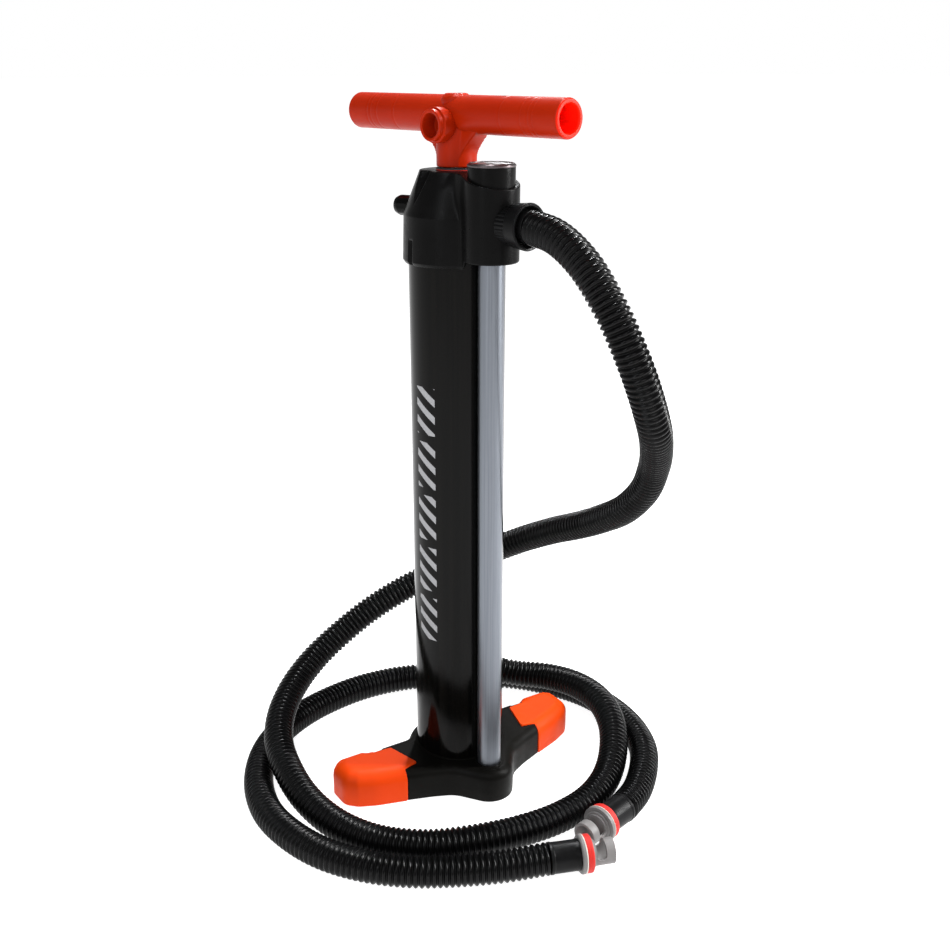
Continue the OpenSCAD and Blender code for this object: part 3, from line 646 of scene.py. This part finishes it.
main_end = hose_end("main_end", MAIN_ROUTE[-1], MAIN_END_AIM, 26, 30, 29.0, 1.1)
front = hose_end("front", RING_ROUTE[-1], FRONT_END_AIM, 26, 30, 29.0, 1.1)
rear = hose_end("rear", RING_ROUTE[0], REAR_END_AIM, 32, 26, 31.9, 0.7)

main_path[::ROWS_PER_RIB].tolist() + [main_path[-1].tolist()]
ring_path[::ROWS_PER_RIB].tolist() + [ring_path[-1].tolist()]


# ------------------------------------------------------------------ base and foot pads

def smooth_loop(line, step):
    """Closed outline resampled at even distances and slightly eased."""
    line = np.concatenate([line, line[:1]])
    length = np.concatenate([[0], np.cumsum(np.linalg.norm(np.diff(line, axis=0), axis=1))])
    count = int(length[-1] / step)
    even = np.linspace(0, length[-1], count, endpoint=False)
    out = np.stack([np.interp(even, length, line[:, k]) for k in range(2)], 1)
    for _ in range(3):
        out = (np.roll(out, 1, 0) + 2 * out + np.roll(out, -1, 0)) / 4
    return out


def inward(line):
    """Unit normals that point into a closed anticlockwise outline."""
    along = np.roll(line, -1, 0) - np.roll(line, 1, 0)
    along /= np.linalg.norm(along, axis=1)[:, None]
    return np.stack([-along[:, 1], along[:, 0]], 1)


def slab(line, foot, top, round_over, centre, rows=9, crown=0.0, foot_round=1.0 * MM):
    """Moulded slab over an outline: the wall rises from the foot, a quarter ellipse of the round-over
    radius turns it inward, and the top runs on to the centre, crowned by a cosine of the distance.
    foot, round_over may be one number or one for each outline point."""
    count = len(line)
    foot = np.broadcast_to(foot, (count,)).astype(float)
    over = np.broadcast_to(round_over, (count,)).astype(float)
    normal = inward(line)
    rings = []

    def ring(inset, height):
        xy = line + normal * np.asarray(inset)[..., None]
        rings.append(np.concatenate([xy, np.broadcast_to(height, (count,))[:, None]], 1))

    for s in (0.98, 0.9):
        flat = centre + (line + normal * foot_round - centre) * s
        rings.append(np.concatenate([flat, foot[:, None]], 1))
    ring(np.full(count, foot_round), foot)
    ring(np.full(count, foot_round * 0.3), foot + foot_round * 0.3)
    ring(np.zeros(count), foot + foot_round)
    rings[0], rings[1] = rings[1], rings[0]
    mid = (foot + foot_round + top - over) / 2
    ring(np.zeros(count), mid)
    turn = np.linspace(0, pi / 2, rows)
    for a in turn:
        ring(over * (1 - cos(a)), top - over * (1 - sin(a)))
    inner = line + normal * over[:, None]
    for s in (0.97, 0.85, 0.6, 0.3, 0.08):
        xy = centre + (inner - centre) * s
        height = top + crown * (1 - s * s) + 0 * foot
        rings.append(np.concatenate([xy, height[:, None]], 1))
    return skin(np.array(rings), flip=False)


def base_outline():
    """Plan of the base, anticlockwise, in metres: two wings with a straight back, a round hub behind and a
    round lobe in front, joined by hollow curves."""
    w = WING / MM
    right = [[33, -44], [52, -35.5], [72, -28.5], [w - 25, -19.5], [w - 9, -12], [w, -3],
             [w, 19], [w - 7, 25], [44, 25]]
    radii = [26, 40, 60, 60, 10, 7, 8, 8, 10]
    hub = [[49 * cos(a), 49 * sin(a)] for a in np.radians(np.arange(36, 145, 6))]
    left = [[-x, y] for x, y in reversed(right)]
    lobe = [[22.2 * cos(a), POD_Y + 22.2 * sin(a)] for a in np.radians(np.arange(211, 330, 6))]
    corners = right + hub + left + lobe
    radius = radii + [0] * len(hub) + radii[::-1] + [0] * len(lobe)
    return smooth_loop(rounded_line(corners, radius, 8, closed=True) * MM, 1.2 * MM)


def wing_edge():
    """The right wing's outer edge as an open line, a little outside the base's own."""
    w = WING / MM
    corners = [[40, -40], [73.5, -28.8], [w - 25, -20.2], [w - 9, -12.6], [w + 0.2, -3], [w + 0.2, 20],
               [w - 8, 29.5], [91, 29.5], [86.5, 25.8], [40, 25.8]]
    return rounded_line(corners, [0, 20, 60, 12, 12, 13, 12, 4, 3, 0], 10) * MM


def distance_to(line, xy):
    """Shortest distance from each point to an open polyline."""
    a, ab = line[:-1], np.diff(line, axis=0)
    ap = xy[..., None, :] - a
    t = np.clip((ap * ab).sum(-1) / (ab * ab).sum(-1), 0, 1)
    return np.linalg.norm(ap - t[..., None] * ab, axis=-1).min(-1)


def pad_cap():
    """Right foot pad: rings that shrink from its plan to its centre, each point at the height top - R +
    the root of (R squared - (R - distance to the wing's edge) squared), which is a round edge of radius R
    along the wing and level elsewhere. The plan has a round tip outside and a pointed tongue inside."""
    w = WING / MM
    corners = [[73.5, -28.8], [w - 25, -20.2], [w - 9, -12.6], [w + 0.2, -3], [w + 0.2, 20], [w - 8, 29.5],
               [91, 29.5], [86.5, 25.4], [84.5, 15.6], [67.5, 14], [58.6, -19.5], [72.5, -22]]
    plan = rounded_line(corners, [0.4, 60, 12, 12, 13, 12, 4, 3.0, 1.5, 1.6, 1.2, 1.5], 8, True) * MM
    length = np.linalg.norm(np.roll(plan, -1, 0) - plan, axis=1)
    place = np.concatenate([[0], np.cumsum(length)])
    even = np.linspace(0, place[-1], 300, endpoint=False)
    loop = np.concatenate([plan, plan[:1]])
    plan = np.stack([np.interp(even, place, loop[:, k]) for k in range(2)], 1)
    edge, centre, big = wing_edge(), np.array([94 * MM, 2 * MM]), 13 * MM
    foot = 0.4 * MM
    rings = [np.concatenate([centre + (plan - centre) * 0.97, np.full((len(plan), 1), foot)], 1),
             np.concatenate([plan, np.full((len(plan), 1), foot + 1.2 * MM)], 1)]
    steps = np.concatenate([[1.0, 0.992, 0.98], np.linspace(0.96, 0.06, 34)])
    for s in steps:
        xy = centre + (plan - centre) * s
        reach = np.minimum(distance_to(edge, xy), big)
        height = PAD_TOP - big + np.sqrt(np.maximum(big ** 2 - (big - reach) ** 2, 0)) + 0.4 * MM
        if s == 1.0:
            height = height - 0.35 * MM
        rings.append(np.concatenate([xy, height[:, None]], 1))
    return skin(np.array(rings))


outline = base_outline()
body_points, body_faces = slab(outline, 0.5 * MM, BASE_TOP - 0.4 * MM, 8.5 * MM, np.array([0, -6 * MM]), 10)
far = np.clip((np.abs(body_points[:, 0]) - 72.5 * MM) / (3.5 * MM), 0, 1)
body_points[:, 1] = 3 * MM + (body_points[:, 1] - 3 * MM) * (1 - 0.08 * far)
body_points[:, 0] = body_points[:, 0] * (1 - 0.025 * far)

collar_low, collar_top = BASE_TOP - 3 * MM, BASE_TOP - 0.05 * MM
collar_in, collar_out = BARREL_R + 0.1 * MM, BARREL_R + 2.2 * MM
collar_line = rounded_line([[collar_low, collar_in], [collar_low, collar_out], [collar_top, collar_out],
                            [collar_top, collar_in]], 0.5 * MM, 4)
collar = turned(collar_line, (0, 0, 0), (0, 0, 1), 96)
ring_line = rounded_line([[BASE_TOP - 3 * MM, 10.9 * MM], [BASE_TOP - 3 * MM, 12.8 * MM],
                          [BASE_TOP + 0.3 * MM, 12.8 * MM], [BASE_TOP + 0.3 * MM, 10.9 * MM]], 0.6 * MM, 4)
foot_ring = turned(ring_line, (TUBE_X, TUBE_Y, 0), (0, 0, 1), 64)
add_piece("base_shell", *join([(body_points, body_faces), collar, foot_ring]), "pump_body", ["base"],
          "base_black", MATT_BLACK)

pad = pad_cap()
add_piece("right_pad_cap", *pad, "pump_body", ["right_foot_pad"], "pad_orange", PAD_ORANGE)
add_piece("left_pad_cap", pad[0] * np.array([-1, 1, 1]), [tuple(reversed(f)) for f in pad[1]],
          "pump_body", ["left_foot_pad"], "pad_orange", PAD_ORANGE)


# ------------------------------------------------------------------ head

def head_shell():
    """The head's skin. Round a line that stands inside both the skirt and the pod, each height's outline is
    the smooth largest of three ray lengths: to the skirt and cone's circle, to the pod's circle, and to
    the neck between them. Rows rise from the lower lip over the shoulder and the cone to the rim."""
    columns, soft = 420, 1.6
    centre = np.array([0, -29.3])
    angle = np.linspace(0, 2 * pi, columns, endpoint=False)
    way = np.stack([np.cos(angle), np.sin(angle)], 1)

    def ray(middle_point, radius):
        d = np.asarray(middle_point, float) - centre
        along = way @ d
        inside = radius ** 2 - (d @ d - along ** 2)
        return np.where(inside > 0, along + np.sqrt(np.maximum(inside, 0)), 0)

    def outline_at(big, small, reach):
        neck = np.max([ray([0, POD_Y * t], reach + (19.5 - reach) * t) for t in np.linspace(0, 0.75, 7)], 0)
        lengths = np.stack([ray([0, 0], big), ray([0, POD_Y], small), neck])
        return soft * np.log(np.exp(lengths / soft).sum(0))

    low, top = HEAD_LOW / MM, HEAD_TOP / MM
    shoulder = low + 40

    def rim_height(y):
        """Level over the barrel, falling forward over the pod at 14 degrees."""
        return np.minimum(top - 0.05, top - 4.5 + (y - POD_Y) * np.tan(radians(14)))

    line = rounded_line([[low, 41.2], [low, 43.4], [low + 2.6, 45], [shoulder - 1, 43.9], [top, 30.2]],
                        [0, .6, 1.2, 3.5, 0], 6)
    heights = np.unique(np.concatenate([line[:, 0], np.arange(low + 3, top - 13, 1.6)]))
    circle = np.interp(heights, line[:, 0], line[:, 1])
    pod = np.interp(heights, [low, low + 1.2, top], [21.5, 22.4, 22.4])
    rings = []
    for height, big, small in zip(heights, circle, pod):
        out = outline_at(big, small, 26 - 6 * np.clip((height - shoulder) / 30, 0, 1))
        rings.append(np.concatenate([centre + way * out[:, None], np.full((columns, 1), height)], 1))
    rings = np.array(rings)
    # the last rows close on the slanted rim
    keep = rings[:, 0, 2] < top - 13.5
    body = rings[keep]
    edge = body[-1]
    out = outline_at(np.interp(top - 1.2, line[:, 0], line[:, 1]), 22.4, 20)
    tip = centre + way * out[:, None]
    rim = rim_height(tip[:, 1])
    extra = []
    for t in (0.25, 0.5, 0.75, 0.9):
        xy = edge[:, :2] + (tip - edge[:, :2]) * t
        extra.append(np.concatenate([xy, (edge[:, 2] + (rim - 1.1 - edge[:, 2]) * t)[:, None]], 1))
    for a in np.radians([0, 22, 45, 67, 90]):
        xy = centre + way * (out - 1.1 * (1 - cos(a)))[:, None]
        extra.append(np.concatenate([xy, (rim - 1.1 * (1 - sin(a)))[:, None]], 1))
    for s in (0.93, 0.8, 0.55, 0.25):
        xy = centre + way * ((out - 1.1) * s)[:, None]
        extra.append(np.concatenate([xy, rim_height(xy[:, 1])[:, None]], 1))
    rings = np.concatenate([body, np.array(extra)])
    rise = 6.2 * np.clip((-41 - rings[..., 1]) / 5, 0, 1) ** 2
    rings[..., 2] = np.maximum(rings[..., 2], np.minimum(low + rise + (rings[..., 2] - low) * 0.5, low + 13))
    # upright slots in the skirt and flutes down the cone, on both sides
    x, y, z = rings[..., 0], rings[..., 1], rings[..., 2]
    radius = np.hypot(x, y)
    off = np.abs(y)
    slot_mask = (np.clip((2.9 - off) / 0.7, 0, 1) * np.clip((low + 20 - z) / 1.2, 0, 1)
                 * (radius > 38) * (z < low + 30))
    width = np.clip((z - (shoulder + 6)) / 27, 0, 1)
    flute_mask = np.clip((7.5 * width - off) / 2.2, 0, 1) * width * (radius > 20)
    push = 3.4 * slot_mask + 6.0 * flute_mask
    scale = (radius - push) / np.maximum(radius, 1e-6)
    rings[..., 0] *= scale
    rings[..., 1] *= scale
    return skin(rings * MM, flip=False)


add_piece("head_moulding", *head_shell(), "pump_body", ["head"], "head_black", HEAD_BLACK)

# gauge: plain lower body, dished bezel and a shallow domed lens
gauge_low, gauge_high = span("gauge_body")
gx, gy = middle("gauge_dial")[:2]
body_line = rounded_line([[gauge_low[2] + 4 * MM, 17 * MM], [gauge_low[2] + 4 * MM, 18.9 * MM],
                          [gauge_high[2], 18.9 * MM], [gauge_high[2], 17 * MM],
                          [gauge_low[2] + 9 * MM, 17 * MM]], [0, .5 * MM, .4 * MM, .3 * MM, 0], 4)
add_piece("gauge_case", *turned(densify(body_line, 3 * MM), (gx, gy, 0), (0, 0, 1), 96), "pump_body",
          ["gauge_body"], "head_black", HEAD_BLACK)
bz = span("gauge_bezel")
bezel_line = rounded_line([[bz[0][2], 17.4 * MM], [bz[0][2], 19.25 * MM], [bz[0][2] + 1.6 * MM, 19.25 * MM],
                           [bz[1][2], 17.6 * MM], [bz[1][2], 16.6 * MM], [bz[0][2] + 2.0 * MM, 16.4 * MM],
                           [bz[0][2] + 1.9 * MM, 17.4 * MM]],
                           [0, .5 * MM, 1 * MM, .6 * MM, .3 * MM, .2 * MM, 0], 5)
add_piece("gauge_bezel_ring", *turned(bezel_line, (gx, gy, 0), (0, 0, 1), 96), "pump_body", ["gauge_bezel"],
          "bezel_silver", BEZEL)
lz = span("gauge_lens")
dome = [[lz[1][2] + 1.0 * MM * (1 - t * t), 17.2 * MM * t] for t in np.linspace(0.02, 1, 14)]
lens_line = np.array([[lz[0][2], 0.3 * MM], [lz[0][2], 17.2 * MM]] + dome[::-1])
add_piece("gauge_lens_dome", *turned(lens_line, (gx, gy, 0), (0, 0, 1), 72), "pump_body", ["gauge_lens"],
          "lens_clear", LENS)

# wiper ring under the handle
wz = span("rod_wiper")
wiper_line = rounded_line([[wz[0][2], 8.2 * MM], [wz[0][2], 17.2 * MM], [wz[1][2], 16.9 * MM],
                           [wz[1][2], 9.4 * MM], [wz[1][2] - 0.9 * MM, 8.2 * MM]],
                          [0, .3 * MM, .6 * MM, .4 * MM, 0], 5)
add_piece("rod_wiper_ring", *turned(wiper_line, (0, 0, 0), (0, 0, 1), 80), "pump_body", ["rod_wiper"],
          "seal_rubber", SEAL_BLACK)

# mode plug: round-ended knob with shallow finger flats
plug_way = np.array([cos(PLUG_TURN), sin(PLUG_TURN), 0])
plug_line = rounded_line([[20, 5], [40.6, 5], [41, 8.45], [53, 8.45], [57, 6.6], [58.9, 3.0], [59, 0.05]],
                         [0, .2, .5, 4.5, 3.0, 2.0, 0], 8)


def plug_flats(along, angle):
    """Six shallow flutes on the knob between its shoulder and its round end."""
    on = np.clip((along - 43.5 * MM) / (1.5 * MM), 0, 1) * np.clip((54 * MM - along) / (2 * MM), 0, 1)
    return -0.35 * MM * on * np.clip(np.cos(6 * angle), 0, 1)


add_piece("mode_plug_knob",
          *turned(densify(plug_line * MM, 1.2 * MM), (0, 0, PLUG_Z), plug_way, 72, plug_flats),
          "mode_plug_body", ["mode_plug"], "knob_black", GLOSS_BLACK)

# swivel nut: ribbed barrel and a plain flared collar
nut_at = np.array([TUBE_X, TUBE_Y, PORT_Z])
port_way = np.array([sin(PORT_TURN), -cos(PORT_TURN), 0])
nut_line = rounded_line([[16.9, 11.5], [16.9, 14.9], [17.6, 15.5], [28.2, 15.5], [29.0, 17.2], [40.6, 18.4],
                         [41.9, 17.7], [41.2, 15.9], [36, 14.4], [31.6, 13.8], [31.6, 11.5]],
                        [0, .3, .6, .5, .8, 1.0, .5, .6, 2, .2, 0], 5)


def nut_ribs(along, angle):
    """Thirty upright ribs round the ribbed part, with rounded tops."""
    on = np.clip((along - 17.8 * MM) / (0.6 * MM), 0, 1) * np.clip((28.0 * MM - along) / (0.5 * MM), 0, 1)
    return -0.55 * MM * on * (0.5 - 0.5 * np.cos(30 * angle)) ** 2


add_piece("swivel_nut_ribbed", *turned(densify(nut_line * MM, 1.0 * MM), nut_at, port_way, 240, nut_ribs),
          "hose_nut", ["swivel_nut"], "head_black", NUT_BLACK)
cuff_line = rounded_line([[31.7, 11.1], [31.7, 13.1], [43.9, 13.1], [43.9, 11.1]], .6, 5)
add_piece("port_cuff_part", *turned(cuff_line * MM, nut_at, port_way, 72), "pump_body", ["port_cuff"],
          "hose_black", CUFF_BLACK)


# ------------------------------------------------------------------ T handle

grip_way = np.array([sin(TURN), -cos(TURN), 0])
stub_way = np.array([-cos(TURN), -sin(TURN), 0])
HALF = 122  # mm, half the grip's length


def grip_grooves(along, angle):
    """Pairs of fine ring grooves near both ends of the grip."""
    a = along / MM
    groove = sum(np.exp(-((np.abs(a) - g) / 0.75) ** 2) for g in (92, 96.5, 62, 84))
    return -0.32 * MM * groove


def grip_line():
    """Half section of the hollow grip, from one bore's floor over the outside to the other's."""
    out = [[-15, 0.05], [-15, 10.8], [-HALF + 1.2, 10.8], [-HALF, 11.4], [-HALF, 14.0], [-HALF + 1.6, 14.85],
           [HALF - 1.6, 14.85], [HALF, 14.0], [HALF, 11.4], [HALF - 1.2, 10.8], [15, 10.8], [15, 0.05]]
    return rounded_line(out, [0, 1.5, .6, .5, .8, 1.0, 1.0, .8, .5, .6, 1.5, 0], 4) * MM


grip = turned(densify(grip_line(), 0.8 * MM), (0, 0, GRIP_Z), grip_way, 64, grip_grooves)
low_stem = span("t_handle")[0][2]


def stem_loft():
    """Stem that spreads into webs under the grip. Each height's outline is the smooth largest of a circle
    and of a bar along the grip whose half length grows with the height to the power 1.35."""
    columns, soft = 144, 1.0
    angle = np.linspace(0, 2 * pi, columns, endpoint=False)
    lengthwise, across = np.abs(np.cos(angle)), np.abs(np.sin(angle))
    top = GRIP_Z / MM - 3
    low = low_stem / MM
    heights = np.concatenate([[low, low + 0.25, low + 0.7], np.linspace(low + 1.6, top, 26)])
    rings = []
    for height in heights:
        t = np.clip((height - low - 5) / (top - 7 - low - 5), 0, 1)
        chamfer = 0.7 * (height == low) + 0.2 * (height == low + 0.25)
        circle = np.full(columns, 16.4 - 1.2 * max(0, height - top + 10) / 10 - chamfer)
        bar = np.minimum((12 + 22 * t ** 1.35) / np.maximum(lengthwise, 1e-6),
                         (9.5 - 1.5 * t) / np.maximum(across, 1e-6))
        out = soft * np.log(np.exp(circle / soft) + np.exp(bar / soft))
        xy = out[:, None] * (np.cos(angle)[:, None] * grip_way[:2] + np.sin(angle)[:, None] * -stub_way[:2])
        rings.append(np.concatenate([xy, np.full((columns, 1), height)], 1))
    return skin(np.array(rings) * MM, flip=False)


stem = stem_loft()
boss_line = rounded_line([[GRIP_Z + 6 * MM, 13.2 * MM], [GRIP_Z + 12.8 * MM, 12.2 * MM],
                          [GRIP_Z + 15.9 * MM, 8.6 * MM], [GRIP_Z + 15.9 * MM, 6.9 * MM],
                          [GRIP_Z + 13.2 * MM, 6.6 * MM]], [0, 5 * MM, 3 * MM, .4 * MM, 0], 7)
boss = turned(boss_line, (0, 0, 0), (0, 0, 1), 72, caps=True)
stub_line = rounded_line([[8, 11.2], [16, 13.6], [20.4, 13.9], [24.3, 13.9], [24.6, 12.4], [28.2, 12.3],
                          [28.9, 11.4], [28.3, 9.5], [15, 9.4], [15, 0.05]],
                         [0, 4, .8, .5, .3, .6, .5, .6, .6, 0], 5)
stub = turned(densify(stub_line * MM, 1.5 * MM), (0, 0, GRIP_Z - 8 * MM), stub_way, 64)
add_piece("t_handle_moulding", *join([grip, stem, boss, stub]), "handle_and_rod", ["t_handle"], "handle_red",
          HANDLE_RED)


# ------------------------------------------------------------------ studio

def panel(name, where, aim_at, size, power, colour=(1, 1, 1)):
    data = bpy.data.lights.new(name, "AREA")
    data.shape = "RECTANGLE"
    data.size, data.size_y = size
    data.energy = power
    data.color = colour
    lamp = bpy.data.objects.new(name, data)
    bpy.context.scene.collection.objects.link(lamp)
    d = np.array(aim_at, float) - np.array(where, float)
    lamp.location = where
    lamp.rotation_euler = Vector(d).to_track_quat("-Z", "Y").to_euler()


floor_mesh = bpy.data.meshes.new("studio_floor")
floor_mesh.from_pydata([(-60, -60, 0), (60, -60, 0), (60, 60, 0), (-60, 60, 0)], [], [(0, 1, 2, 3)])
floor = bpy.data.objects.new("studio_floor", floor_mesh)
bpy.context.scene.collection.objects.link(floor)
paper = Finish("pale_floor", roughness=0.8, specular_ior_level=0.0, emission_strength=0.96)
paper.colour(paper.mix(paper.noise(3, 2), rgb(0.50, 0.50, 0.50), rgb(0.53, 0.53, 0.53)))
paper.shader.inputs["Emission Color"].default_value = (1, 1, 1, 1)
floor_mesh.materials.append(paper.material)

world = bpy.data.worlds.new("studio")
bpy.context.scene.world = world
world.use_nodes = True
tree = world.node_tree
sky = tree.nodes.new("ShaderNodeTexCoord")
parts = tree.nodes.new("ShaderNodeSeparateXYZ")
rise = tree.nodes.new("ShaderNodeMapRange")
tree.links.new(sky.outputs["Generated"], parts.inputs[0])
tree.links.new(parts.outputs["Z"], rise.inputs["Value"])
for key, value in (("From Min", 0.07), ("From Max", 0.22), ("To Min", 1.0), ("To Max", 0.18)):
    rise.inputs[key].default_value = value
tree.links.new(rise.outputs[0], tree.nodes["Background"].inputs["Strength"])
tree.nodes["Background"].inputs["Color"].default_value = (1, 1, 1, 1)
panel("strip_left", (-1.5, -0.55, 1.25), (0, 0, 0.3), (0.05, 1.6), 9, (0.93, 0.96, 1.0))
panel("strip_right", (1.25, -0.85, 1.1), (0, 0, 0.3), (0.10, 1.5), 54)
panel("strip_top", (0.45, 0.55, 1.8), (0, 0, 0.1), (0.05, 1.6), 46, (0.97, 0.98, 1.0))
panel("front_soft", (-0.9, -1.6, 1.6), (0, 0, 0.3), (0.9, 0.9), 9)
bpy.context.scene.view_settings.view_transform = "Standard"
